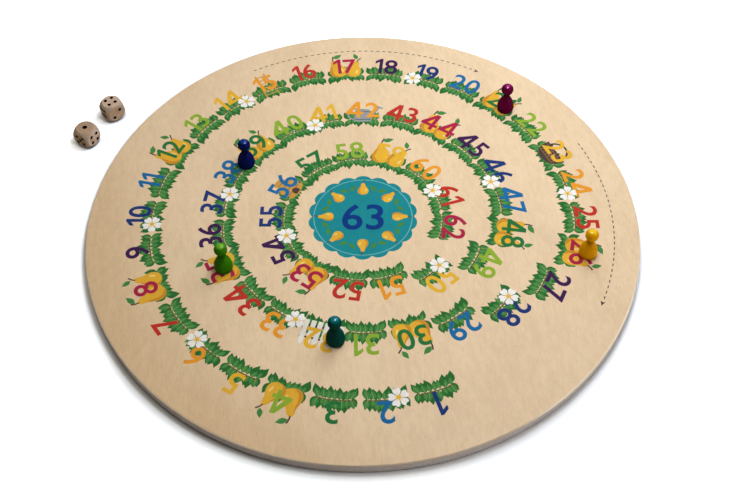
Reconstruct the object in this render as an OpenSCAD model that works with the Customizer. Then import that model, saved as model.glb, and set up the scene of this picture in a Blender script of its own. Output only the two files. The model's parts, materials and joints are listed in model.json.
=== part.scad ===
// Round plywood board for a race game, with five turned pawns and two wooden dice.
// Millimetres. +Z is up, and the origin is the centre of the board's underside.
// The board is a stack of glued veneers. The pawns stand on it, and the dice lie beside it.

/* [Board] */
// Diameter of the round board
board_d = 400; // [300:5:500]
// Thickness of the two sanded face veneers
face_ply_t = 1.25; // [0.6:0.05:2]
// Thickness of each inner veneer
inner_ply_t = 1.3; // [0.8:0.05:2]
// Radius of the rounded top and bottom rim
rim_r = 1.1; // [0.3:0.1:1.8]

/* [Pawns] */
// Height of a pawn
pawn_h = 25.5; // [23:0.5:32]
// Diameter of the ball that is its head
head_d = 9.3; // [7:0.1:9.5]
// Diameter of its neck
neck_d = 4.6; // [3.5:0.1:6]
// Height of the narrowest point of the neck
neck_z = 15.6; // [13:0.1:16]
// Radius of the hollow that turns the neck out into the body
neck_hollow_r = 5.5; // [2:0.1:7]
// Diameter of the body at its widest
belly_d = 13; // [11:0.1:18]
// Height of the widest point
belly_z = 2.6; // [2:0.1:3]
// How far the flat foot's rim is drawn in from the widest point
foot_in = 0.7; // [0.7:0.1:1.5]

/* [Dice] */
// Distance across two opposite faces
die_w = 15.5; // [14:0.1:20]
// Diameter of the flat round patch on each face
die_flat_d = 13.5; // [11.5:0.1:14]
// Radius that softens the rim of each patch
die_edge_r = 1.3; // [0.8:0.1:1.8]
// Diameter of a pip
pip_d = 2.4; // [1.5:0.1:2.6]
// Diameter of the single pip of the one
ace_d = 3.4; // [2:0.1:4]
// Depth of every pip
pip_depth = 0.5; // [0.2:0.05:0.7]
// Distance between neighbouring pips
pip_pitch = 2.8; // [2.7:0.1:3.2]

/* [Pawns on the track] */
// Distance of the purple pawn's axis in from the rim
purple_in = 41.5; // [20:0.5:60]
// Direction of the purple pawn from the centre, in degrees
purple_dir = 44.8; // [30:0.1:60]
// Distance of the yellow pawn's axis in from the rim
yellow_in = 37; // [20:0.5:60]
// Direction of the yellow pawn from the centre, in degrees
yellow_dir = -12.5; // [-30:0.1:5]
// Distance of the teal pawn's axis in from the rim
teal_in = 90.5; // [70:0.5:110]
// Direction of the teal pawn from the centre, in degrees
teal_dir = -99.3; // [-115:0.1:-85]
// Distance of the green pawn's axis in from the rim
green_in = 92; // [70:0.5:110]
// Direction of the green pawn from the centre, in degrees
green_dir = -154.2; // [-170:0.1:-140]
// Distance of the blue pawn's axis in from the rim
blue_in = 97; // [70:0.5:110]
// Direction of the blue pawn from the centre, in degrees
blue_dir = 149.4; // [135:0.1:165]

/* [Dice beside the board] */
// Distance of the left die's centre out from the rim
left_die_out = 32.7; // [25:0.1:60]
// Direction of the left die from the board's centre, in degrees
left_die_dir = 158.3; // [155:0.1:165]
// Turn of the left die about the vertical, in degrees
left_die_turn = -30.4; // [-90:0.1:90]
// Distance of the right die's centre out from the rim
right_die_out = 31.5; // [25:0.1:60]
// Direction of the right die from the board's centre, in degrees
right_die_dir = 150.2; // [140:0.1:151]
// Turn of the right die about the vertical, in degrees
right_die_turn = 40.2; // [-90:0.1:90]

/* [Hidden] */
$fn = 96;
margin = 1; // how far a cutting shape runs past what it cuts

// Board: two face veneers round five inner ones
inner_plies = 5;
board_r = board_d / 2;
board_t = 2 * face_ply_t + inner_plies * inner_ply_t;
function inner_ply_z(place) = face_ply_t + place * inner_ply_t;

// Pawn outline: the flank is an arc that leaves the belly upright, and the neck's
// hollow is an arc that meets it at one tangent and ends upright at the neck
head_r = head_d / 2;
head_z = pawn_h - head_r;
neck_r = neck_d / 2;
belly_r = belly_d / 2;
foot_arc_r = (pow(foot_in, 2) + pow(belly_z, 2)) / (2 * foot_in);
flank_lean = 2 * atan((belly_r - neck_r) / (neck_z - belly_z));
flank_r = (neck_z - belly_z) / sin(flank_lean) - neck_hollow_r;
flank_top_z = belly_z + flank_r * sin(flank_lean);
flank_top_r = belly_r - flank_r * (1 - cos(flank_lean));

// Die: a cube cut by a ball. The softening arc's centre stands a hair further out
// than one that would only touch the ball, so that the two surfaces cross
die_half = die_w / 2;
ball_r = sqrt(pow(die_half, 2) + pow(die_flat_d / 2, 2));
touch_gap = 0.02;
edge_z = die_half - die_edge_r;
edge_x = sqrt(pow(ball_r - die_edge_r, 2) - pow(edge_z, 2)) + touch_gap;
edge_dir = atan(edge_x / edge_z);

// Turns that carry the +Z face to +Z, -Z, -Y, +Y, +X and -X, in that order
face_turns = [[0, 0, 0], [180, 0, 0], [90, 0, 0], [-90, 0, 0], [0, 90, 0], [0, -90, 0]];

// Where the pips of each number stand, in steps of pip_pitch
diagonal = [[-1, -1], [1, 1]];
four_corners = concat(diagonal, [[-1, 1], [1, -1]]);
function pips(number) =
    number == 1 ? [[0, 0]] :
    number == 2 ? diagonal :
    number == 3 ? concat(diagonal, [[0, 0]]) :
    number == 4 ? four_corners :
    number == 5 ? concat(four_corners, [[0, 0]]) :
    concat(four_corners, [[-1, 0], [1, 0]]);

// The whole board as one disc with rounded rims, from which every veneer is sliced
module board_disc() {
    rotate_extrude() {
        square([board_r - rim_r, board_t]);
        translate([0, rim_r]) square([board_r, board_t - 2 * rim_r]);
        for (z = [rim_r, board_t - rim_r]) translate([board_r - rim_r, z]) circle(r = rim_r);
    }
}

// One veneer: the slice of the board from height z, with thickness t
module veneer(z, t) {
    intersection() {
        board_disc();
        translate([0, 0, z]) cylinder(h = t, r = board_r + margin);
    }
}

module face_veneer_top() { color("#E9D0B1") veneer(board_t - face_ply_t, face_ply_t); }
module cross_ply_upper() { color("#C9AC86") veneer(inner_ply_z(4), inner_ply_t); }
module long_ply_upper() { color("#DDC19B") veneer(inner_ply_z(3), inner_ply_t); }
module core_ply() { color("#C9AC86") veneer(inner_ply_z(2), inner_ply_t); }
module long_ply_lower() { color("#DDC19B") veneer(inner_ply_z(1), inner_ply_t); }
module cross_ply_lower() { color("#C9AC86") veneer(inner_ply_z(0), inner_ply_t); }
module face_veneer_bottom() { color("#E1C6A2") veneer(0, face_ply_t); }

// Half outline of a pawn, from the flat foot to the top of the head
module pawn_outline() {
    // Rounded foot, up to the belly
    intersection() {
        translate([belly_r - foot_arc_r, belly_z]) circle(r = foot_arc_r);
        square([belly_r, belly_z]);
    }
    // Flank, from the belly up to the neck's hollow
    intersection() {
        translate([belly_r - flank_r, belly_z]) circle(r = flank_r);
        translate([0, belly_z]) square([belly_r, flank_top_z - belly_z]);
    }
    // Hollow, from the flank up to the narrowest point
    difference() {
        translate([0, flank_top_z]) square([flank_top_r, neck_z - flank_top_z]);
        translate([neck_r + neck_hollow_r, neck_z]) circle(r = neck_hollow_r);
    }
    // Core, as thick as the neck, from the foot up into the head
    square([neck_r, head_z]);
    // Head
    intersection() {
        translate([0, head_z]) circle(r = head_r);
        translate([0, head_z - head_r]) square([head_r, head_d]);
    }
}

// A turned pawn that stands on the board, inset from its rim in the given direction
module pawn(inset, direction) {
    rotate([0, 0, direction]) translate([board_r - inset, 0, board_t])
        rotate_extrude() pawn_outline();
}

module pawn_purple() { color("#5E1238") pawn(purple_in, purple_dir); }
module pawn_yellow() { color("#D9A514") pawn(yellow_in, yellow_dir); }
module pawn_teal() { color("#0E5560") pawn(teal_in, teal_dir); }
module pawn_green() { color("#3F7F22") pawn(green_in, green_dir); }
module pawn_blue() { color("#14275F") pawn(blue_in, blue_dir); }

// Ring that softens the rim of the +Z face: what lies outside an arc and its tangent cone
module edge_cutter() {
    reach = die_edge_r + margin;
    arc_end = [edge_x + die_edge_r * sin(edge_dir), edge_z + die_edge_r * cos(edge_dir)];
    cone_end = arc_end + reach * [cos(edge_dir), -sin(edge_dir)];
    rotate_extrude() difference() {
        polygon([
            [edge_x, edge_z], [edge_x, die_half + margin],
            [cone_end.x, die_half + margin], cone_end, arc_end]);
        translate([edge_x, edge_z]) circle(r = die_edge_r);
    }
}

// Shallow round dimple in the +Z face
module pip(d) {
    dimple_r = (pow(d / 2, 2) + pow(pip_depth, 2)) / (2 * pip_depth);
    translate([0, 0, die_half - pip_depth + dimple_r]) sphere(r = dimple_r);
}

// A die about its own centre. numbers gives what its +Z, -Z, -Y, +Y, +X and -X faces show
module die(numbers) {
    difference() {
        intersection() {
            cube(die_w, center = true);
            sphere(r = ball_r);
        }
        for (face = [0 : 5]) rotate(face_turns[face]) {
            edge_cutter();
            for (step = pips(numbers[face])) translate(pip_pitch * step)
                pip(numbers[face] == 1 ? ace_d : pip_d);
        }
    }
}

// A die that lies on the ground beside the board
module die_beside_board(out, direction, turn, numbers) {
    reach = board_r + out;
    translate([reach * cos(direction), reach * sin(direction), die_half])
        rotate([0, 0, turn]) die(numbers);
}

module die_left() {
    color("#A98A6C") die_beside_board(left_die_out, left_die_dir, left_die_turn, [1, 6, 5, 2, 4, 3]);
}

module die_right() {
    color("#B5967A") die_beside_board(right_die_out, right_die_dir, right_die_turn, [4, 3, 2, 5, 1, 6]);
}

face_veneer_top();
cross_ply_upper();
long_ply_upper();
core_ply();
long_ply_lower();
cross_ply_lower();
face_veneer_bottom();
pawn_purple();
pawn_yellow();
pawn_teal();
pawn_green();
pawn_blue();
die_left();
die_right();
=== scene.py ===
import json
import math
import random

import bpy
from mathutils import Euler, Matrix, Vector

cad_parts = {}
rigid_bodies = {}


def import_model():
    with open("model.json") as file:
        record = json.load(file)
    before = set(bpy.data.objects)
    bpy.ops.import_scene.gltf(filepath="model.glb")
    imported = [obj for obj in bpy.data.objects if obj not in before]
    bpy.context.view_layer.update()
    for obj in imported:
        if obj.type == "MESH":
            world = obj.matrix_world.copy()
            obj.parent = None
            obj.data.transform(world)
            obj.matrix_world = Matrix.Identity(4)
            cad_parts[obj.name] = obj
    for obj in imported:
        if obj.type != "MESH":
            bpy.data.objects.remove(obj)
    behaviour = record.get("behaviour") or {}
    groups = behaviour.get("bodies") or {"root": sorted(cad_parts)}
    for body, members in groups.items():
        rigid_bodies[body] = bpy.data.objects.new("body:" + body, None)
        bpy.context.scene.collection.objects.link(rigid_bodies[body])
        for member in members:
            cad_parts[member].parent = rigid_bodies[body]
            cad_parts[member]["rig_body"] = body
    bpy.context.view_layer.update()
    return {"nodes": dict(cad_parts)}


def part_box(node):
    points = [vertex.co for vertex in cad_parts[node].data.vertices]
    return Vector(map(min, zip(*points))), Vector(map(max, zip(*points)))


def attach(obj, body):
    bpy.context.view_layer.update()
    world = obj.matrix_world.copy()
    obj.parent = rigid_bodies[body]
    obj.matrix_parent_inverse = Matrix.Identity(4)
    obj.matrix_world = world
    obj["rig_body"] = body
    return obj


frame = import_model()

# The camera
# It stands in front of the board, a finger's breadth to the right of its middle, and looks
# down on it through a lens like a 50 mm one.
camera_place = (0.0087, -0.4911, 0.5885)
camera_down = 51.565
camera_roll = -0.176
camera_lens = 49.97
sensor_width = 36
bpy.ops.object.select_all(action="DESELECT")
bpy.ops.object.camera_add(location=camera_place)
camera = bpy.context.object
camera.name = "photo_camera"
camera.rotation_mode = "ZYX"
camera.rotation_euler = (math.radians(90 - camera_down), 0, math.radians(camera_roll))
camera.data.sensor_width = sensor_width
camera.data.lens = camera_lens
camera.data.clip_start = 0.01
bpy.context.scene.camera = camera


# The plywood board
# Seven veneers glued crosswise, sawn to a disc and sanded round at both rims. The two faces
# are a pale wood with a fine, short grain. The cut edge drank the varnish and went dull and
# greyish, and shows its plies only from close by.
def add_node(material, kind, inputs=None, **settings):
    """One shader node. An input is a plain value or the socket that feeds it."""
    made = material.node_tree.nodes.new("ShaderNode" + kind)
    for key, value in settings.items():
        setattr(made, key, value)
    for key, value in (inputs or {}).items():
        if isinstance(value, bpy.types.NodeSocket):
            material.node_tree.links.new(value, made.inputs[key])
        else:
            made.inputs[key].default_value = value
    return made


def linear(colour):
    """A colour as the eye names it, 0 to 255 a channel, as the shader wants it."""
    shares = [channel / 255 for channel in colour]
    return [s / 12.92 if s < 0.04045 else ((s + 0.055) / 1.055) ** 2.4 for s in shares] + [1]


def new_finish(name, roughness, shine, coat_roughness=0.2):
    """A material with its gloss set, and its main shader."""
    material = bpy.data.materials.new(name)
    material.use_nodes = True
    shader = material.node_tree.nodes["Principled BSDF"]
    shader.inputs["Roughness"].default_value = roughness
    shader.inputs["Specular IOR Level"].default_value = shine
    shader.inputs["Coat Roughness"].default_value = coat_roughness
    return material, shader


def coordinates(material, kind="Object"):
    """The object's own coordinates, or with "Normal" the way that its surface faces."""
    return add_node(material, "TexCoord").outputs[kind]


def stretched(material, size, turn=(0, 0, 0), centre=(0, 0, 0)):
    """The object's own coordinates, centred, turned and drawn out along the grain."""
    turned = [math.radians(angle) for angle in turn]
    return add_node(material, "Mapping", {
        "Vector": coordinates(material), "Location": centre, "Rotation": turned, "Scale": size,
    }, vector_type="TEXTURE").outputs["Vector"]


def part_of(material, vector, axis):
    """The X, Y or Z of a vector."""
    return add_node(material, "SeparateXYZ", {"Vector": vector}).outputs[axis]


def towards(material, vector, direction):
    """How far a vector reaches in a direction."""
    return add_node(material, "VectorMath", {0: vector, 1: direction},
                    operation="DOT_PRODUCT").outputs["Value"]


def reach(material, vector):
    """The length of a vector."""
    return add_node(material, "VectorMath", {0: vector}, operation="LENGTH").outputs["Value"]


def noise(material, vector, scale, detail=2.0, roughness=0.5):
    """Soft noise from 0 to 1, with scale in patches a metre."""
    return add_node(material, "TexNoise", {
        "Vector": vector, "Scale": scale, "Detail": detail, "Roughness": roughness,
    }).outputs["Fac"]


def between(material, value, low, high, to_low=0.0, to_high=1.0):
    """Carries value from low..high to to_low..to_high, and stops at both ends."""
    return add_node(material, "MapRange", {
        "Value": value, "From Min": low, "From Max": high, "To Min": to_low, "To Max": to_high,
    }, interpolation_type="SMOOTHSTEP").outputs["Result"]


def sums(material, operation, first, second=None):
    """Plain arithmetic on one or two values or sockets."""
    terms = {0: first} if second is None else {0: first, 1: second}
    return add_node(material, "Math", terms, operation=operation).outputs["Value"]


def blended(material, share, first, second, kind="MIX"):
    """Two colours mixed by share."""
    return add_node(material, "Mix", {
        "Factor": share, "A": first, "B": second,
    }, data_type="RGBA", blend_type=kind, clamp_factor=True).outputs["Result"]


def relief(material, shader, height, depth):
    """Bumps of the given depth in metres."""
    bump = add_node(material, "Bump", {"Height": height, "Distance": depth, "Strength": 1.0})
    material.node_tree.links.new(bump.outputs["Normal"], shader.inputs["Normal"])


grain_turn = 8


def along_grain(material, stretch):
    """The object's own coordinates, drawn out along the grain of the board's faces."""
    return stretched(material, (1, stretch, 1), turn=(0, 0, grain_turn))


def face_fibres(material):
    """The fine, short fibres of the face veneer, which also show through the ink."""
    return noise(material, along_grain(material, 16), 2300, detail=3.0, roughness=0.6)


face_pale = (241, 216, 180)
face_deep = (230, 203, 166)
pore_brown = (190, 152, 114)
# The tint and direction of the painted shade at the face's front left rim
rim_shade_tint = (0.92, 0.87, 0.8, 1)
rim_shade_side = (-0.82, -0.57, 0)
# The arris: its painted highlight, and its painted shade at the front
arris_highlight = (246, 230, 208)
arris_front_shade = (172, 156, 144)
arris_shade_side = (0.2, -0.98, 0)
edge_pale = (238, 231, 231)
edge_deep = (195, 188, 189)
glue_brown = (120, 108, 100)
# The painted shade at the foot of the cut edge, by the table
edge_foot_shade = (98, 90, 88)
glue_line = 0.00006
face_relief = 0.000015
veneer_names = [
    "face_veneer_top", "cross_ply_upper", "long_ply_upper", "core_ply",
    "long_ply_lower", "cross_ply_lower", "face_veneer_bottom"]
for ply, veneer_name in enumerate(veneer_names):
    low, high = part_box(veneer_name)
    runs_across = ply % 2
    finish, shader = new_finish(veneer_name + "_finish", roughness=0.5, shine=0.08)
    # Flat faces: fibres, faint mottling, slow clouds and many tiny pores
    fibres = face_fibres(finish)
    mottling = noise(finish, along_grain(finish, 2.4), 260)
    clouds = noise(finish, along_grain(finish, 2.2), 34)
    pores = noise(finish, along_grain(finish, 6), 2400)
    tone = sums(finish, "ADD", sums(finish, "MULTIPLY", fibres, 0.4),
                sums(finish, "MULTIPLY", mottling, 0.3))
    tone = sums(finish, "ADD", tone, sums(finish, "MULTIPLY", clouds, 0.3))
    face = blended(finish, between(finish, tone, 0.36, 0.64), linear(face_pale), linear(face_deep))
    face = blended(finish, between(finish, pores, 0.62, 0.74, 0, 0.45), face, linear(pore_brown))
    # Painted shade: the face darkens and warms towards its rim on the front left, where the lamps'
    # light falls off
    point = coordinates(finish)
    rim_falloff_shade = sums(finish, "MULTIPLY", between(finish, reach(finish, point), 0.14, 0.198),
                between(finish, towards(finish, point, rim_shade_side), 0.06, 0.18))
    face = blended(finish, rim_falloff_shade, face, rim_shade_tint, kind="MULTIPLY")
    # Cut edge: the same solid grain seen from the side or from its end, dark at the glue
    along = stretched(finish, (1, 30, 1), turn=(0, 0, grain_turn + 90 * runs_across))
    streaks = noise(finish, along, 1600, detail=3.0, roughness=0.65)
    edge = blended(finish, between(finish, streaks, 0.3, 0.7), linear(edge_pale), linear(edge_deep))
    edge = blended(finish, 0.25 * runs_across, edge, linear(edge_deep))
    level = part_of(finish, point, "Z")
    # The board's outer faces have no glue on them, so a level far away stands in for it there
    glue_below = -1.0 if veneer_name == veneer_names[-1] else low.z
    glue_above = 1.0 if veneer_name == veneer_names[0] else high.z
    nearest = sums(finish, "MINIMUM", sums(finish, "SUBTRACT", level, glue_below),
                   sums(finish, "SUBTRACT", glue_above, level))
    glued = between(finish, nearest, glue_line * 0.5, glue_line * 1.5, 0.8, 0)
    edge = blended(finish, glued, edge, linear(glue_brown))
    # Painted shade: the cut edge darkens towards its foot, where it stands on the table
    foot_shade_share = between(finish, level, 0.0008, 0.0042, 0.5, 0)
    edge = blended(finish, foot_shade_share, edge, linear(edge_foot_shade))
    # The top arris between them is painted pale as a painted highlight, where its rounding catches
    # the light, and turns to painted shade at the front
    arris_shaded = between(finish, towards(finish, point, arris_shade_side), 0.178, 0.194, 0, 0.75)
    arris = blended(finish, arris_shaded, linear(arris_highlight), linear(arris_front_shade))
    upright = part_of(finish, coordinates(finish, "Normal"), "Z")
    colour = blended(finish, between(finish, upright, 0.1, 0.4), edge, arris)
    flat = between(finish, sums(finish, "ABSOLUTE", upright), 0.9, 0.995)
    colour = blended(finish, flat, colour, face)
    finish.node_tree.links.new(colour, shader.inputs["Base Color"])
    relief(finish, shader, sums(finish, "ADD", fibres, streaks), face_relief)
    frame["nodes"][veneer_name].material_slots[0].material = finish


# The leaf sprays of the track
# Every space from 1 to 62 has its own spray of leaves, printed in two greens with pale
# ribs. The spaces follow three turns of a spiral that runs clockwise from the front edge.
mm = 0.001
board_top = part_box("face_veneer_top")[1].z
# Each turn: how many spaces it has, its radius, and its share of a full circle
turns_of_track = ((29, 161, 1), (21, 109, 1), (12, 65, 0.9))
track_start = -72
slide_share = 0.2
usual_length = 34
spiral_steps = 720


def turn_of_spaces(count, radius, share, next_radius, first_number):
    """The number, radius, direction and length of each space of one turn. The spaces are
    equally long, and the last of them slide in to the next radius."""
    radii = []
    for step in range(spiral_steps):
        slid = max(0, (step / spiral_steps - 1 + slide_share) / slide_share)
        eased = slid * slid * (3 - 2 * slid)
        radii.append(radius + (next_radius - radius) * eased)
    walked = 0
    spaces = []
    length = share * sum(radii) / count
    for step in range(spiral_steps):
        if len(spaces) < count and walked >= length * (len(spaces) - 0.001):
            direction = track_start - 360 * step / spiral_steps
            spaces.append((first_number + len(spaces), radii[step], direction,
                           length * math.tau / spiral_steps))
        walked += radii[step]
    return spaces


track = {}
turn_radii = [radius for _, radius, _ in turns_of_track]
for (count, radius, share), next_radius in zip(turns_of_track, turn_radii[1:] + turn_radii[-1:]):
    spaces = turn_of_spaces(count, radius, share, next_radius, len(track) + 1)
    for number, space_radius, direction, space_length in spaces:
        track[number] = (space_radius, direction, space_length)


def weld(piece):
    """Joins the doubled points of a converted curve or text, and points its faces outwards."""
    bpy.ops.object.select_all(action="DESELECT")
    piece.select_set(True)
    bpy.context.view_layer.objects.active = piece
    bpy.ops.object.mode_set(mode="EDIT")
    bpy.ops.mesh.select_all(action="SELECT")
    bpy.ops.mesh.remove_doubles(threshold=0.000001)
    bpy.ops.mesh.normals_make_consistent(inside=False)
    bpy.ops.object.mode_set(mode="OBJECT")
    return piece


def stamp(outline, proud, smoothness=4):
    """A printed shape: a closed outline in millimetres, and how proud of the wood its ink is.
    Each point is (x, y) for a round stretch, or (x, y, "VECTOR") for a corner."""
    bpy.ops.curve.primitive_bezier_circle_add()
    shape = bpy.context.object
    shape.data.dimensions = "2D"
    shape.data.fill_mode = "BOTH"
    shape.data.resolution_u = smoothness
    shape.data.extrude = proud * mm
    points = shape.data.splines[0].bezier_points
    points.add(len(outline) - len(points))
    for point, (x, y, *corner) in zip(points, outline):
        point.co = (x * mm, y * mm, 0)
    for point, (x, y, *corner) in zip(points, outline):
        point.handle_left_type = point.handle_right_type = corner[0] if corner else "AUTO"
    bpy.ops.object.convert(target="MESH")
    return weld(bpy.context.object)


def copied(shape, x=0.0, y=0.0, turn=0.0, size=(1, 1, 1)):
    """A copy with its own mesh, sized, turned and moved, in millimetres and degrees."""
    copy = bpy.data.objects.new(shape.name, shape.data.copy())
    bpy.context.scene.collection.objects.link(copy)
    sized = Matrix.Diagonal((*size, 1))
    turned = Matrix.Rotation(math.radians(turn), 4, "Z")
    copy.data.transform(Matrix.Translation((x * mm, y * mm, 0)) @ turned @ sized)
    return copy


def joined(name, parts):
    """One object of many."""
    bpy.ops.object.select_all(action="DESELECT")
    for part in parts:
        part.select_set(True)
    bpy.context.view_layer.objects.active = parts[0]
    if len(parts) > 1:
        bpy.ops.object.join()
    parts[0].name = parts[0].data.name = name
    return parts[0]


def swung(copy, angle):
    """Swings a copy round the middle of the board, in degrees."""
    copy.data.transform(Matrix.Rotation(math.radians(angle), 4, "Z"))
    return copy


def on_track(shape, number, x=0.0, y=0.0, turn=0.0, size=(1, 1, 1)):
    """A copy on a space of the track: x runs clockwise along it, and y outwards."""
    middle_radius, direction, _ = track[number]
    return swung(copied(shape, x, y + middle_radius, turn, size), direction - 90)


def ink_finish(name, colour):
    """Ink printed straight on the wood: even, but for slow clouds and the fibres beneath."""
    finish, shader = new_finish(name, roughness=0.5, shine=0.0)
    fibres = face_fibres(finish)
    clouds = noise(finish, coordinates(finish), 90, detail=3.0)
    tone = sums(finish, "ADD", sums(finish, "MULTIPLY", fibres, 0.6),
                sums(finish, "MULTIPLY", clouds, 0.4))
    thin = [channel * 1.07 for channel in linear(colour)[:3]] + [1]
    full = [channel * 0.93 for channel in linear(colour)[:3]] + [1]
    ink = blended(finish, between(finish, tone, 0.34, 0.66), thin, full)
    finish.node_tree.links.new(ink, shader.inputs["Base Color"])
    relief(finish, shader, fibres, face_relief)
    return finish


def printed(name, parts, colour):
    """Joins the parts of one ink into a piece that lies on the board's face."""
    piece = joined(name, parts)
    piece.data.transform(Matrix.Translation((0, 0, board_top)))
    piece.data.materials.clear()
    piece.data.materials.append(ink_finish(name + "_ink", colour))
    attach(piece, "board")


leaf_deep = (50, 112, 56)
leaf_fresh = (74, 140, 74)
leaf_rib = (150, 184, 104)
stem_brown = (104, 92, 56)
# The leaf and its rib are drawn one unit tall, and sized as they are copied
leaf = stamp([(0, 0, "VECTOR"), (0.26, 0.4), (0, 1, "VECTOR"), (-0.26, 0.4)], proud=0.017)
rib = stamp([(-0.025, 0.08, "VECTOR"), (0.025, 0.08, "VECTOR"), (0.008, 0.8, "VECTOR"),
             (-0.008, 0.8, "VECTOR")], proud=0.05)
stem = stamp([(-13, -7.2, "VECTOR"), (0, -6.2), (13, -7.2, "VECTOR"), (13, -7.9, "VECTOR"),
              (0, -7.1), (-13, -7.9, "VECTOR")], proud=0.047)
# Each row of a spray: its tone, its leaves, the millimetres between them, how long they are,
# which way they point, and the degrees by which each leans out more than the one before
leaf_rows = (("deep", 10, 2.6, 8.6, 1, 4), ("deep", 9, 2.8, 8.6, -1, 4),
             ("fresh", 8, 3.1, 6.4, 1, 6), ("fresh", 7, 3.5, 6.4, -1, 6))
spray_kinds = 4
stem_level = -6.8
chance = random.Random(63)
sprays = []
for _ in range(spray_kinds):
    spray = {"deep": [], "fresh": [], "ribs": []}
    for row, (tint, leaf_count, gap, leaf_length, points, fan) in enumerate(leaf_rows):
        for leaf_number in range(leaf_count):
            side = leaf_number - (leaf_count - 1) / 2
            tall = leaf_length + chance.uniform(-1.3, 1.7)
            lean = -side * fan * points + chance.uniform(-9, 9)
            turn = lean if points > 0 else lean + 180
            x = side * gap + chance.uniform(-0.5, 0.5)
            y = stem_level - 0.12 * side * side + chance.uniform(-0.4, 0.4)
            wide = tall * chance.uniform(0.95, 1.15)
            thick = 1 + 0.45 * row + 0.045 * leaf_number
            spray[tint].append(copied(leaf, x, y, turn, (wide, tall, thick)))
            if tint == "fresh":
                spray["ribs"].append(copied(rib, x, y, turn, (tall, tall, 1)))
    sprays.append([joined(layer, leaves) for layer, leaves in spray.items()])

deep_parts, fresh_parts, rib_parts, stem_parts = [], [], [], []
leaf_layers = (deep_parts, fresh_parts, rib_parts, stem_parts)
for number, (_, _, space_length) in track.items():
    fit = (space_length / usual_length, 1, 1)
    for shape, parts in zip([*sprays[number % spray_kinds], stem], leaf_layers):
        parts.append(on_track(shape, number, size=fit))
printed("print_leaves_deep", deep_parts, leaf_deep)
printed("print_leaves_fresh", fresh_parts, leaf_fresh)
printed("print_leaf_ribs", rib_parts, leaf_rib)
printed("print_leaf_stems", stem_parts, stem_brown)


# The pears
# Thirteen spaces carry a pair of ripe pears behind their number, printed in yellow with an
# orange shaded side, a pale gleam and a brown stalk.
def mirrored(half):
    """Closes the right half of an outline with its mirror image."""
    return half + [(-x, y, *corner) for x, y, *corner in reversed(half) if x > 0]


pear_yellow = (232, 180, 62)
pear_orange = (212, 146, 52)
pear_gleam = (244, 214, 120)
pear_spaces = (4, 8, 12, 17, 21, 26, 30, 35, 39, 44, 48, 53, 59)
pear = stamp(mirrored([(0, -10.5), (5.2, -8.8), (7.1, -4.2), (5.6, 1), (3.2, 5), (2.3, 8.6),
                       (0, 10.4)]), proud=0.055)
shaded_side = stamp([(-0.8, -10.3, "VECTOR"), (-5.2, -8.7), (-7, -4.2), (-5.5, 1), (-3.1, 5),
                     (-2.3, 8.4, "VECTOR"), (-2.5, 4), (-3.9, -1), (-4.1, -6)], proud=0.06)
gleam = stamp([(3.4, -5.6), (4.5, -3.4), (3.6, -0.6), (2.6, -3)], proud=0.06)
stalk = stamp([(-0.5, 9.6, "VECTOR"), (0.2, 12.6), (1.7, 15.4, "VECTOR"), (2.7, 14.8, "VECTOR"),
               (1.2, 12.2), (0.5, 9.6, "VECTOR")], proud=0.065)
pear_parts, shade_parts, gleam_parts, stalk_parts, pear_leaf_parts = [], [], [], [], []
pear_layers = ((pear, pear_parts), (shaded_side, shade_parts), (gleam, gleam_parts),
               (stalk, stalk_parts))
for number in pear_spaces:
    for x, y, turn, size in ((-6.8, 0.2, 16, (1, 1, 1)), (7.2, -1.4, -20, (0.92, 0.92, 1.04))):
        for shape, parts in pear_layers:
            parts.append(on_track(shape, number, x, y, turn, size))
    pear_leaf_parts.append(on_track(leaf, number, -9, 12.4, -58, (8, 8.5, 3.4)))
    pear_leaf_parts.append(on_track(leaf, number, 11, 10, 20, (7, 7.5, 3.5)))


# The garden pictures
# A few spaces carry a small picture of a garden thing, printed behind the number in plain
# flat inks: a ladder, a basket, a picket fence, a watering can and a beehive.
def bar(x, y, length, width, turn, proud):
    """A straight printed stroke, placed by its middle."""
    bpy.ops.mesh.primitive_cube_add(size=1)
    stroke = bpy.context.object
    stroke.data.transform(Matrix.Diagonal((length * mm, width * mm, 2 * proud * mm, 1)))
    stroke.data.transform(Matrix.Rotation(math.radians(turn), 4, "Z"))
    stroke.data.transform(Matrix.Translation((x * mm, y * mm, 0)))
    return stroke


def arch(radius, width, first, last, proud, steps=10):
    """A printed band along an arc, from one angle to the other in degrees."""
    angles = [math.radians(first + (last - first) * step / steps) for step in range(steps + 1)]
    outer = [(radius * math.cos(a), radius * math.sin(a), "VECTOR") for a in angles]
    inner = [((radius - width) * math.cos(a), (radius - width) * math.sin(a), "VECTOR")
             for a in reversed(angles)]
    return stamp(outer + inner, proud, smoothness=1)


straw = (206, 158, 74)
bark = (84, 66, 62)
wicker = (138, 104, 78)
chalk = (240, 236, 226)
zinc = (150, 158, 160)
slate = (86, 94, 104)
ladder_space, basket_space, fence_space, can_space, hive_space = 15, 23, 32, 42, 56

# Where strokes cross, each stands a hair prouder than the one under it, so that no two of
# them share a level
ladder = [bar(x, 0, 27, 1.1, 90 + lean, 0.0535) for x, lean in ((-4.6, -4), (4.6, 4))]
ladder += [bar(0, -11 + 4.4 * rung, 8.2 - 0.35 * rung, 0.9, 0, 0.0545) for rung in range(6)]
hive = []
for band, (y, width) in enumerate(((-9, 17), (-5.2, 18), (-1.4, 17), (2.4, 14), (6, 9))):
    half = [(width / 2 - 1.6, y - 1.8), (width / 2, y), (width / 2 - 1.6, y + 1.8)]
    hive.append(stamp(mirrored(half), 0.056 + 0.001 * band))
straw_parts = [on_track(joined("ladder", ladder), ladder_space),
               on_track(joined("hive", hive), hive_space)]

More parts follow.
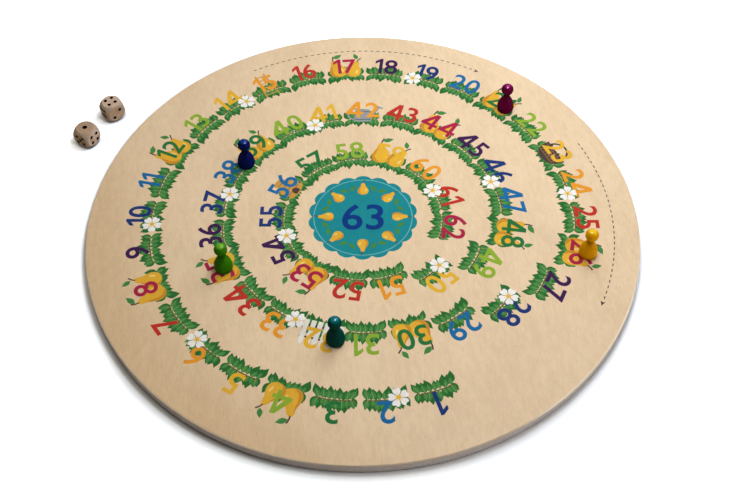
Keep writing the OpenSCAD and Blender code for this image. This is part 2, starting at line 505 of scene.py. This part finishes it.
basket_bowl = stamp(mirrored([(7.6, -11), (10.4, -7), (12.2, 0.6, "VECTOR")]), 0.056)
basket_handle = arch(9.4, 1.5, 4, 176, 0.054)
hive_door = stamp(mirrored([(2.6, -11.2, "VECTOR"), (2.6, -8), (0, -5.8)]), 0.066)
picket_rails = [bar(0, y, 28, 1.5, 0, 0.0525) for y in (-8, 2)]
bark_parts = [on_track(basket_bowl, basket_space), on_track(basket_handle, basket_space),
              on_track(hive_door, hive_space), on_track(joined("rails", picket_rails), fence_space)]

weave = [bar(0, -9 + 2.4 * row, 17 + 1.4 * row, 0.7, 0, 0.06) for row in range(4)]
weave += [bar(-8 + 3.2 * post, -4.4, 9, 0.6, 90 - 3 * (post - 2.5), 0.061) for post in range(6)]
seam_widths = ((-7.1, 13), (-3.3, 13), (0.5, 10), (4.2, 5))
seams = [bar(0, y, width, 0.6, 0, 0.0635) for y, width in seam_widths]
wicker_parts = [on_track(joined("weave", weave), basket_space),
                on_track(joined("seams", seams), hive_space)]

picket = stamp([(-1.7, -12, "VECTOR"), (1.7, -12, "VECTOR"), (1.7, 6, "VECTOR"),
                (0, 8.6, "VECTOR"), (-1.7, 6, "VECTOR")], 0.056)
chalk_parts = [on_track(picket, fence_space, -12 + 4.8 * post) for post in range(6)]

can_body = stamp(mirrored([(6.6, -11, "VECTOR"), (5.6, 2.4, "VECTOR"), (0, 3.2)]), 0.056)
can_spout = stamp([(5.4, -8.6, "VECTOR"), (9.5, -3), (13.4, 3.6, "VECTOR"), (11.8, 4.6, "VECTOR"),
                   (8.2, -0.6), (5.2, -3.6, "VECTOR")], 0.058)
can_rose = bar(13.2, 5, 6.4, 1.6, -32, 0.06)
can_grip = copied(arch(6.6, 1.3, 70, 262, 0.054), -5.4, -2.6)
zinc_parts = [on_track(part, can_space) for part in (can_body, can_spout, can_rose, can_grip)]
can_bands = [bar(0, y, width, 0.8, 0, 0.06) for y, width in ((-8.6, 12.6), (0, 11.4))]
slate_parts = [on_track(joined("bands", can_bands), can_space)]

# The dashed paths
# Two rows of short dashes run beside the track from one space to another, each with an
# arrowhead at its end.
dash_step = 5
dash = bar(0, 0, 2.6, 0.7, 0, 0.05)
arrowhead = stamp([(-1.6, -1.7, "VECTOR"), (2.4, 0, "VECTOR"), (-1.6, 1.7, "VECTOR"),
                   (-0.8, 0, "VECTOR")], 0.05)
dashed_paths = ((ladder_space, 20, 20.5), (basket_space, 27, 20.5))
for first, last, outside in dashed_paths:
    start, end = track[first][1], track[last][1]
    path_radius = track[first][0] + outside
    last_dash = int(path_radius * math.radians(start - end) / dash_step)
    for dash_number in range(last_dash + 1):
        direction = start + (end - start) * dash_number / last_dash
        shape = arrowhead if dash_number == last_dash else dash
        bark_parts.append(swung(copied(shape, 0, path_radius), direction - 90))

# The numbers
# Plain, slightly bold figures from 1 to 62, whose feet point to the middle. Nine inks take
# turns along the track.
number_height = 17.5
number_foot = -6.3
figure_gap = 1.7
figure_boldness = 0.32
capital_share = 0.729
number_proud = 0.075
number_inks = {
    "navy": (40, 62, 122), "blue": (38, 112, 168), "green": (46, 120, 66), "lime": (146, 180, 62),
    "yellow": (234, 184, 58), "orange": (238, 160, 52), "red": (196, 58, 48),
    "crimson": (176, 44, 76), "purple": (66, 38, 84)}


def typed_figure(figure):
    """One bold figure, with its feet at y 0 and its middle at x 0."""
    bpy.ops.object.text_add()
    made = bpy.context.object
    made.data.body = figure
    made.data.size = (number_height - 2 * figure_boldness) * mm / capital_share
    made.data.offset = figure_boldness * mm
    made.data.resolution_u = 6
    made.data.extrude = number_proud * mm
    bpy.ops.object.convert(target="MESH")
    made = weld(bpy.context.object)
    corners = [Vector(corner) for corner in made.bound_box]
    middle = (min(c.x for c in corners) + max(c.x for c in corners)) / 2
    lowest = min(c.y for c in corners)
    made.data.transform(Matrix.Translation((-middle, -lowest, 0)))
    return made


figure_stamps = {figure: typed_figure(figure) for figure in "02356789"}
# The one has no foot, and the four is three crossed strokes, so these two are drawn
figure_stamps["1"] = stamp([
    (0.4, 0, "VECTOR"), (3.1, 0, "VECTOR"), (3.1, number_height, "VECTOR"),
    (1, number_height, "VECTOR"), (-3.1, 14.2, "VECTOR"), (-3.1, 11.2, "VECTOR"),
    (0.4, 13.8, "VECTOR")], number_proud)
slant = stamp([(-6.7, 3.9, "VECTOR"), (-3.3, 4.2, "VECTOR"), (4.3, number_height, "VECTOR"),
               (1.1, number_height, "VECTOR"), (-6.7, 6, "VECTOR")], number_proud)
crossbar = bar(0.2, 5, 13.8, 2.8, 0, number_proud + 0.002)
upright_bar = bar(3, number_height / 2, number_height, 2.9, 90, number_proud + 0.004)
figure_stamps["4"] = joined("four", [slant, crossbar, upright_bar])


def figures(text):
    """The figures of a number, side by side and centred on x."""
    bpy.context.view_layer.update()
    widths = [figure_stamps[figure].dimensions.x / mm for figure in text]
    left_side = -(sum(widths) + figure_gap * (len(text) - 1)) / 2
    parts = []
    for figure, width in zip(text, widths):
        parts.append(copied(figure_stamps[figure], x=left_side + width / 2))
        left_side += width + figure_gap
    return joined("number", parts)


by_ink = {ink_name: [] for ink_name in number_inks}
for number in track:
    made = figures(str(number))
    ink_name = list(number_inks)[(number - 1) % len(number_inks)]
    by_ink[ink_name].append(on_track(made, number, 0, number_foot))
    bpy.data.objects.remove(made)

# The blossoms
# White blossoms with five round petals and a yellow heart lie on some of the sprays, partly
# over the number.
petal_white = (250, 248, 244)
heart_yellow = (236, 190, 60)
blossom_level = -8
# The spaces that have a blossom, and how far along the space it lies
blossom_spaces = {2: -9, 6: 9, 10: -8, 14: 10, 19: -9, 24: 9, 28: -8, 33: -9, 37: 9, 41: -9, 46: 9,
                  50: -8, 54: 9, 61: -8}
petal = stamp([(0, 0.6, "VECTOR"), (1.2, 2.2), (2.7, 4.8), (1.6, 6.9), (0, 6.3), (-1.6, 6.9),
               (-2.7, 4.8), (-1.2, 2.2)], proud=0.09, smoothness=3)
heart = stamp([(1.5, 0), (0, 1.5), (-1.5, 0), (0, -1.5)], proud=0.1)
thread = bar(0, 2.4, 1.9, 0.28, 90, 0.0985)
petal_parts, heart_parts = [], []
for number, x in blossom_spaces.items():
    turn = 24 * number
    petals = [copied(petal, turn=turn + 72 * p, size=(1, 1, 1 + 0.02 * p)) for p in range(5)]
    threads = [copied(thread, turn=turn + 36 * t) for t in range(10)]
    petal_ring, yellow_heart = joined("petals", petals), joined("heart", [copied(heart)] + threads)
    petal_parts.append(on_track(petal_ring, number, x, blossom_level))
    heart_parts.append(on_track(yellow_heart, number, x, blossom_level))
    for made in (petal_ring, yellow_heart):
        bpy.data.objects.remove(made)
printed("print_petals", petal_parts, petal_white)

# The goal
# A teal round with a scalloped rim fills the middle of the board. It carries the number 63
# in a wreath of small pears.
goal_teal = (36, 140, 150)
goal_line = (110, 182, 184)
goal_blue = (24, 60, 132)
goal_number_foot = -12.6
goal_number_size = (1.44, 1.44, 1)
wreath_pears = 8
wreath_radius = 27.2
wreath_pear_size = (0.56, 0.56, 1)
wreath_leaf_radius = 26.5
wreath_leaf_size = (6.6, 7.4, 2.4)
scallops = 18
rim_points = []
for scallop in range(scallops):
    for part_way, radius, *corner in ((0, 37.2, "VECTOR"), (0.27, 39.4), (0.73, 39.4)):
        angle = math.tau * (scallop + part_way) / scallops
        rim_points.append((radius * math.cos(angle), radius * math.sin(angle), *corner))
printed("print_goal", [stamp(rim_points, proud=0.03)], goal_teal)
goal_ring = [arch(36.2, 0.7, 0, 180, 0.04, steps=40), arch(36.2, 0.7, 180, 360, 0.04, steps=40)]
printed("print_goal_ring", goal_ring, goal_line)
wreath_step = 360 / wreath_pears
for wreath_pear in range(wreath_pears):
    turn = wreath_step * wreath_pear
    for shape, parts in pear_layers:
        parts.append(swung(copied(shape, 0, wreath_radius, size=wreath_pear_size), turn))
    for lean, x in ((-60, 0.4), (60, -0.4)):
        wreath_leaf = copied(leaf, x, wreath_leaf_radius, lean, wreath_leaf_size)
        pear_leaf_parts.append(swung(wreath_leaf, turn + wreath_step / 2))
goal_number = copied(figures("63"), 0, goal_number_foot, size=goal_number_size)
printed("print_goal_number", [goal_number], goal_blue)

printed("print_pears", pear_parts, pear_yellow)
printed("print_pear_shade", shade_parts, pear_orange)
printed("print_pear_gleam", gleam_parts, pear_gleam)
printed("print_pear_stalks", stalk_parts, bark)
printed("print_pear_leaves", pear_leaf_parts, leaf_fresh)
printed("print_straw", straw_parts, straw)
printed("print_bark", bark_parts, bark)
printed("print_wicker", wicker_parts, wicker)
printed("print_chalk", chalk_parts, chalk)
printed("print_zinc", zinc_parts, zinc)
printed("print_slate", slate_parts, slate)
printed("print_blossom_hearts", heart_parts, heart_yellow)
for ink_name, ink_colour in number_inks.items():
    printed("print_numbers_" + ink_name, by_ink[ink_name], ink_colour)

# The shapes that only served as patterns go away
for made in list(bpy.context.scene.objects):
    if made.type in {"MESH", "CURVE", "FONT"} and "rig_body" not in made:
        bpy.data.objects.remove(made)


# The pawns
# Each pawn is turned from one peg of close-grained wood and dipped in coloured lacquer. It is
# glossy on the crown and duller below. Where its surface faces up it is painted lighter, as painted
# top light, and in the neck and at the foot it is painted darker, as painted shade.
# Each lacquer: the painted top-lit tone for surfaces that face up, and the body's tone
pawn_lacquers = {
    "pawn_purple": ((144, 6, 100), (93, 0, 51)),
    "pawn_yellow": ((252, 206, 4), (226, 158, 4)),
    "pawn_teal": ((0, 124, 136), (0, 61, 54)),
    "pawn_green": ((104, 180, 28), (45, 115, 3)),
    "pawn_blue": ((4, 48, 136), (5, 14, 80)),
}
neck_height = 0.0156
lacquer_relief = 0.000004
for pawn_name, (top_lit_tone, body_tone) in pawn_lacquers.items():
    low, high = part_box(pawn_name)
    finish, shader = new_finish(pawn_name + "_lacquer", roughness=0.5, shine=0.0,
                                coat_roughness=0.19)
    foot = ((low.x + high.x) / 2, (low.y + high.y) / 2, low.z)
    rise = part_of(finish, stretched(finish, (1, 1, 1), centre=foot), "Z")
    upright = part_of(finish, coordinates(finish, "Normal"), "Z")
    glossy = between(finish, upright, 0.74, 0.94, 0.06, 0.45)
    # Painted top light: the lacquer turns to its lighter tone where the surface faces up
    faces_up_light = between(finish, upright, 0.66, 0.93)
    colour = blended(finish, faces_up_light, linear(body_tone), linear(top_lit_tone))
    # Painted shade: darker in the neck under the head, and at the foot where the pawn meets the
    # board
    from_neck = sums(finish, "ABSOLUTE", sums(finish, "SUBTRACT", rise, neck_height))
    neck_and_foot_shade = sums(finish, "MAXIMUM", between(finish, from_neck, 0.0004, 0.0034, 0.6, 0),
                  between(finish, rise, 0.0002, 0.0042, 0.65, 0))
    colour = blended(finish, neck_and_foot_shade, colour, linear([0.5 * channel for channel in body_tone]))
    streaks = noise(finish, stretched(finish, (1, 1, 14), centre=foot), 900, detail=3.0)
    thin = blended(finish, 0.08, colour, linear(top_lit_tone))
    full = blended(finish, 0.2, colour, linear([0.6 * channel for channel in body_tone]))
    colour = blended(finish, between(finish, streaks, 0.25, 0.75), thin, full)
    finish.node_tree.links.new(glossy, shader.inputs["Coat Weight"])
    finish.node_tree.links.new(colour, shader.inputs["Base Color"])
    relief(finish, shader, streaks, lacquer_relief)
    frame["nodes"][pawn_name].material_slots[0].material = finish

# The dice
# Each die is cut from a thin branch, so growth rings circle one of its faces. It was
# tumbled until its corners were round, and waxed. Handling greyed it in patches, at the
# corners and most of one face.
die_deep = (180, 136, 96)
die_worn = (216, 194, 178)
die_grey = (132, 112, 98)
die_bloom = (176, 160, 148)
ring_width = 0.0021
ring_waver = 0.0025
die_relief = 0.00003
# How each die is turned, what its faces show, where the branch's heart lies in it and how
# that leans, its paler tone between the rings, and the way that its worn face looks
dice = {
    "die_left": {"turn": -30.4, "numbers": (1, 6, 5, 2, 4, 3), "heart": (-0.001, 0.002, 0.0),
                 "lean": (8, 6, 0), "pale": (204, 172, 138), "worn_face": (0.86, -0.51, 0)},
    "die_right": {"turn": 40.2, "numbers": (4, 3, 2, 5, 1, 6), "heart": (0.002, 0.0, 0.001),
                  "lean": (78, 0, 30), "pale": (226, 196, 164), "worn_face": (0, 0, 1)},
}
for die_name, facts in dice.items():
    low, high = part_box(die_name)
    centre = (low + high) / 2
    finish, shader = new_finish(die_name + "_wood", roughness=0.6, shine=0.15)
    heart_place = centre + Vector(facts["heart"])
    lie = stretched(finish, (1, 1, 1), turn=facts["lean"], centre=heart_place)
    waver = noise(finish, lie, 130, detail=2.0)
    across = add_node(finish, "CombineXYZ", {axis: part_of(finish, lie, axis) for axis in "XY"})
    from_heart = reach(finish, across.outputs["Vector"])
    wavy = sums(finish, "ADD", from_heart, sums(finish, "MULTIPLY", waver, ring_waver))
    growth = sums(finish, "FRACT", sums(finish, "DIVIDE", wavy, ring_width))
    rings = between(finish, growth, 0.35, 0.95)
    fibres = noise(finish, stretched(finish, (1, 1, 14), turn=facts["lean"], centre=heart_place),
                   2600, detail=3.0)
    colour = blended(finish, between(finish, rings, 0, 1, 0, 0.62), linear(facts["pale"]),
                     linear(die_deep))
    colour = blended(finish, between(finish, fibres, 0.4, 0.75, 0, 0.5), colour, linear(die_grey))
    stain = noise(finish, stretched(finish, (1, 1, 1), centre=centre), 110)
    colour = blended(finish, between(finish, stain, 0.42, 0.7, 0, 0.6), colour, linear(die_deep))
    bloom = noise(finish, stretched(finish, (1, 1, 1), turn=(0, 0, 50), centre=centre), 140)
    colour = blended(finish, between(finish, bloom, 0.4, 0.62, 0, 0.65), colour, linear(die_bloom))
    surface = coordinates(finish, "Normal")
    on_worn_face = between(finish, towards(finish, surface, facts["worn_face"]), 0.55, 0.92)
    rubbed = sums(finish, "MULTIPLY", on_worn_face,
                  between(finish, bloom, 0.32, 0.54, 0.2, 0.72))
    colour = blended(finish, rubbed, colour, linear(die_worn))
    # A corner is where the surface faces none of the die's six sides squarely
    unturned = add_node(finish, "VectorRotate", {
        "Vector": surface, "Angle": math.radians(-facts["turn"])}, rotation_type="Z_AXIS")
    facing = add_node(finish, "VectorMath", {0: unturned.outputs["Vector"]},
                      operation="ABSOLUTE").outputs["Vector"]
    squareness = part_of(finish, facing, "X")
    for axis in "YZ":
        squareness = sums(finish, "MAXIMUM", squareness, part_of(finish, facing, axis))
    cornered = between(finish, squareness, 0.78, 0.98, 0.5, 0)
    colour = blended(finish, cornered, colour, linear(die_bloom))
    finish.node_tree.links.new(colour, shader.inputs["Base Color"])
    relief(finish, shader, sums(finish, "ADD", fibres, rings), die_relief)
    frame["nodes"][die_name].material_slots[0].material = finish

# The paint in the pips
# Every pip is a shallow round dimple, touched with a drop of black paint that lines it and
# has run a little way over its rim.
die_half = 7.75
pip_depth = 0.5
pip_pitch = 2.8
pip_width = 2.4
ace_width = 3.4
paint_skin = 0.03
spill_out = 0.04
spill_radius = 0.14
diagonal = [(-1, -1), (1, 1)]
four_corners = diagonal + [(-1, 1), (1, -1)]
pip_places = {1: [(0, 0)], 2: diagonal, 3: diagonal + [(0, 0)], 4: four_corners,
              5: four_corners + [(0, 0)], 6: four_corners + [(-1, 0), (1, 0)]}
face_turns = ((0, 0, 0), (180, 0, 0), (90, 0, 0), (-90, 0, 0), (0, 90, 0), (0, -90, 0))


def paint_drop(width):
    """The skin of paint in a dimple of the given width on the die's top face."""
    dimple_radius = ((width / 2) ** 2 + pip_depth ** 2) / (2 * pip_depth)
    ball_height = die_half - pip_depth + dimple_radius
    bpy.ops.mesh.primitive_uv_sphere_add(
        segments=24, ring_count=32, radius=(dimple_radius - paint_skin) * mm,
        location=(0, 0, ball_height * mm))
    drop = bpy.context.object
    bpy.ops.object.transform_apply(location=True)
    bpy.ops.object.mode_set(mode="EDIT")
    bpy.ops.mesh.select_all(action="SELECT")
    bpy.ops.mesh.bisect(plane_co=(0, 0, (die_half - paint_skin / 2) * mm), plane_no=(0, 0, 1),
                        clear_outer=True, use_fill=False)
    bpy.ops.mesh.select_all(action="SELECT")
    bpy.ops.mesh.normals_make_consistent(inside=False)
    bpy.ops.object.mode_set(mode="OBJECT")
    skin = drop.modifiers.new("skin", "SOLIDIFY")
    skin.thickness = 2 * paint_skin * mm
    skin.offset = 1
    bpy.ops.object.modifier_apply(modifier=skin.name)
    bpy.ops.mesh.primitive_torus_add(
        major_segments=32, minor_segments=8, major_radius=(width / 2 + spill_out) * mm,
        minor_radius=spill_radius * mm)
    spilled = bpy.context.object
    spilled.data.transform(Matrix.Diagonal((1, 1, paint_skin / spill_radius, 1)))
    spilled.data.transform(Matrix.Translation((0, 0, die_half * mm)))
    return joined("drop", [drop, spilled])


paint_black = (12, 5, 3)
ace_drop = paint_drop(ace_width)
pip_drop = paint_drop(pip_width)
paint, shader = new_finish("pip_paint", roughness=0.5, shine=0.0)
patchy = noise(paint, coordinates(paint), 1400)
colour = blended(paint, patchy, linear(paint_black), linear([2 * c for c in paint_black]))
paint.node_tree.links.new(colour, shader.inputs["Base Color"])
for die_name, body in (("die_left", "left_die"), ("die_right", "right_die")):
    low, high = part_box(die_name)
    settled = Matrix.Translation((low + high) / 2) @ Matrix.Rotation(
        math.radians(dice[die_name]["turn"]), 4, "Z")
    drops = []
    for pips_shown, face_turn in zip(dice[die_name]["numbers"], face_turns):
        onto_face = Euler([math.radians(angle) for angle in face_turn]).to_matrix().to_4x4()
        for x, y in pip_places[pips_shown]:
            drop = copied(ace_drop if pips_shown == 1 else pip_drop, x * pip_pitch, y * pip_pitch)
            drop.data.transform(settled @ onto_face)
            drops.append(drop)
    painted = joined(die_name + "_pips", drops)
    painted.data.materials.clear()
    painted.data.materials.append(paint)
    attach(painted, body)
for made in (ace_drop, pip_drop):
    bpy.data.objects.remove(made)

# The studio
# A white table that runs on past the view, a soft lamp and a small one close above the board,
# a weak fill from either side, a lamp that shows only as a gleam on lacquer and wax, and a
# dim room whose low walls look white.
table_size = 12
table_drop = 0.00008
gap_reach = 0.012
bpy.ops.mesh.primitive_plane_add(size=table_size, location=(0, 0, -table_drop))
table = bpy.context.object
table.name = "white_table"
bpy.ops.object.transform_apply(location=True)
plain = bpy.data.materials.new("white_table_top")
plain.use_nodes = True
# The table looks white where it lies open. In the gap under the board's rounded edge it greys with
# the lamps' own shadow and with painted shade from an occlusion test, most at the front left, away
# from the lamps. It throws back only as much light as a pale table.
# The distances are metres from the middle of the board, whose rim lies at 0.2
table_rays = add_node(plain, "LightPath").outputs
seen = table_rays["Is Camera Ray"]
unseen = sums(plain, "SUBTRACT", 1.0, seen)
on_table = coordinates(plain)
outwards = reach(plain, on_table)
frontwards = towards(plain, on_table, (0, -1, 0))
front_left = towards(plain, on_table, (-0.77, -0.64, 0))
front_right = towards(plain, on_table, (0.77, -0.64, 0))
far_left = towards(plain, on_table, (-0.97, -0.26, 0))
crowding = add_node(plain, "AmbientOcclusion", {"Distance": gap_reach}, samples=16).outputs["AO"]
# The painted shade of the gap: darkest at the front left, lighter at the front, and dim by the dice
brighter = between(plain, frontwards, 0.0, 0.16, 0.9, 1.25)
gap_shade_tone = between(plain, front_left, 0.12, 0.178, brighter, 0.42)
gap_shade_tone = sums(plain, "MULTIPLY", gap_shade_tone, between(plain, outwards, 0.206, 0.22, 1, 0.85))
# The white of the open table: a painted lift for the far left, one for the table round the dice,
# and a little painted shade close by the rim, the most at the right
open_from = between(plain, front_left, 0.03, 0.12, 0.99, 0.86)
open_tone = between(plain, front_left, 0.02, 0.15, 0.78, 1.03)
lighter = sums(plain, "MULTIPLY", between(plain, far_left, 0.182, 0.197),
               between(plain, outwards, 0.206, 0.216, 0.2, 0))
at_rim = between(plain, front_right, 0.1, 0.19, 0.95, 0.88)
for gain in (sums(plain, "ADD", lighter, 1.0), between(plain, outwards, 0.206, 0.22, 1, 1.3),
             between(plain, outwards, 0.203, 0.216, at_rim, 1)):
    open_tone = sums(plain, "MULTIPLY", open_tone, gain)
# Both tones lean to blue, and at the right to a warmer white
tone_gains = {"Red": (1.02, 1.9, 1.02), "Green": (1.13, 2.07, 1.0), "Blue": (1.32, 2.28, 0.975)}
thrown = sums(plain, "MULTIPLY", between(plain, crowding, 0.5, 1.0, 0.15, 0.7), unseen)
channels = {}
for channel, (gap_gain, open_gain, right_gain) in tone_gains.items():
    warmth = between(plain, front_right, 0.08, 0.19, 1, right_gain)
    in_gap_shade = sums(plain, "MULTIPLY", sums(plain, "MULTIPLY", gap_shade_tone, warmth), gap_gain)
    in_open = sums(plain, "MULTIPLY", sums(plain, "MULTIPLY", open_tone, warmth), open_gain)
    shown = between(plain, crowding, 0.4, open_from, in_gap_shade, in_open)
    channels[channel] = sums(plain, "ADD", sums(plain, "MULTIPLY", shown, seen), thrown)
table_colour = add_node(plain, "CombineColor", channels).outputs["Color"]
mirrored_rays = sums(plain, "MAXIMUM", table_rays["Is Glossy Ray"],
                     table_rays["Is Transmission Ray"])
beyond = sums(plain, "MULTIPLY", between(plain, outwards, 0.24, 0.44),
              sums(plain, "MAXIMUM", seen, mirrored_rays))
matt = add_node(plain, "BsdfDiffuse", {"Color": table_colour})
pure = add_node(plain, "Emission", {"Strength": beyond})
both = add_node(plain, "AddShader", {0: matt.outputs[0], 1: pure.outputs[0]})
table_top = plain.node_tree
table_top.links.new(both.outputs[0], table_top.nodes["Material Output"].inputs["Surface"])
table.data.materials.append(plain)

# Each lamp's place, width in metres, power in watts and colour
lamps = {
    "soft_lamp": ((0.15, 0.25, 0.45), 0.4, 1.7, (0.94, 0.98, 1.06)),
    "small_lamp": ((0.05, -0.03, 0.55), 0.11, 0.7, (1, 1, 1)),
    "side_fill": ((1.0, -0.5, 0.36), 0.5, 3.6, (1.04, 1, 0.95)),
    "left_fill": ((-0.4, 0, 0.7), 0.5, 0.4, (1.04, 1, 0.93)),
    "gleam_lamp": ((0.1, 0.02, 0.6), 0.12, 5, (1, 1, 1)),
}
for lamp_name, (lamp_place, lamp_width, power, lamp_colour) in lamps.items():
    bpy.ops.object.light_add(type="AREA", location=lamp_place)
    lamp = bpy.context.object
    lamp.name = lamp_name
    lamp.data.shape = "DISK"
    lamp.data.size = lamp_width
    lamp.data.energy = power
    lamp.data.color = lamp_colour
    lamp.rotation_euler = Vector(lamp_place).to_track_quat("Z", "Y").to_euler()
    lamp.visible_diffuse = lamp_name != "gleam_lamp"

room_dim = (0.15, 0.12, 0.08, 1)
room_white = (1, 1, 1, 1)
world = bpy.data.worlds.new("white_room")
world.use_nodes = True
bpy.context.scene.world = world
room = world.node_tree.nodes["Background"]
room_rays = add_node(world, "LightPath").outputs
room_seen = sums(world, "MAXIMUM", room_rays["Is Camera Ray"], room_rays["Is Glossy Ray"])
room_seen = sums(world, "MAXIMUM", room_seen, room_rays["Is Transmission Ray"])
wall_height = part_of(world, coordinates(world, "Generated"), "Z")
low_wall = sums(world, "MULTIPLY", room_seen, between(world, wall_height, 0.1, 0.2, 1, 0))
room_colour = blended(world, low_wall, room_dim, room_white)
world.node_tree.links.new(room_colour, room.inputs["Color"])

bpy.context.scene.view_settings.view_transform = "Standard"
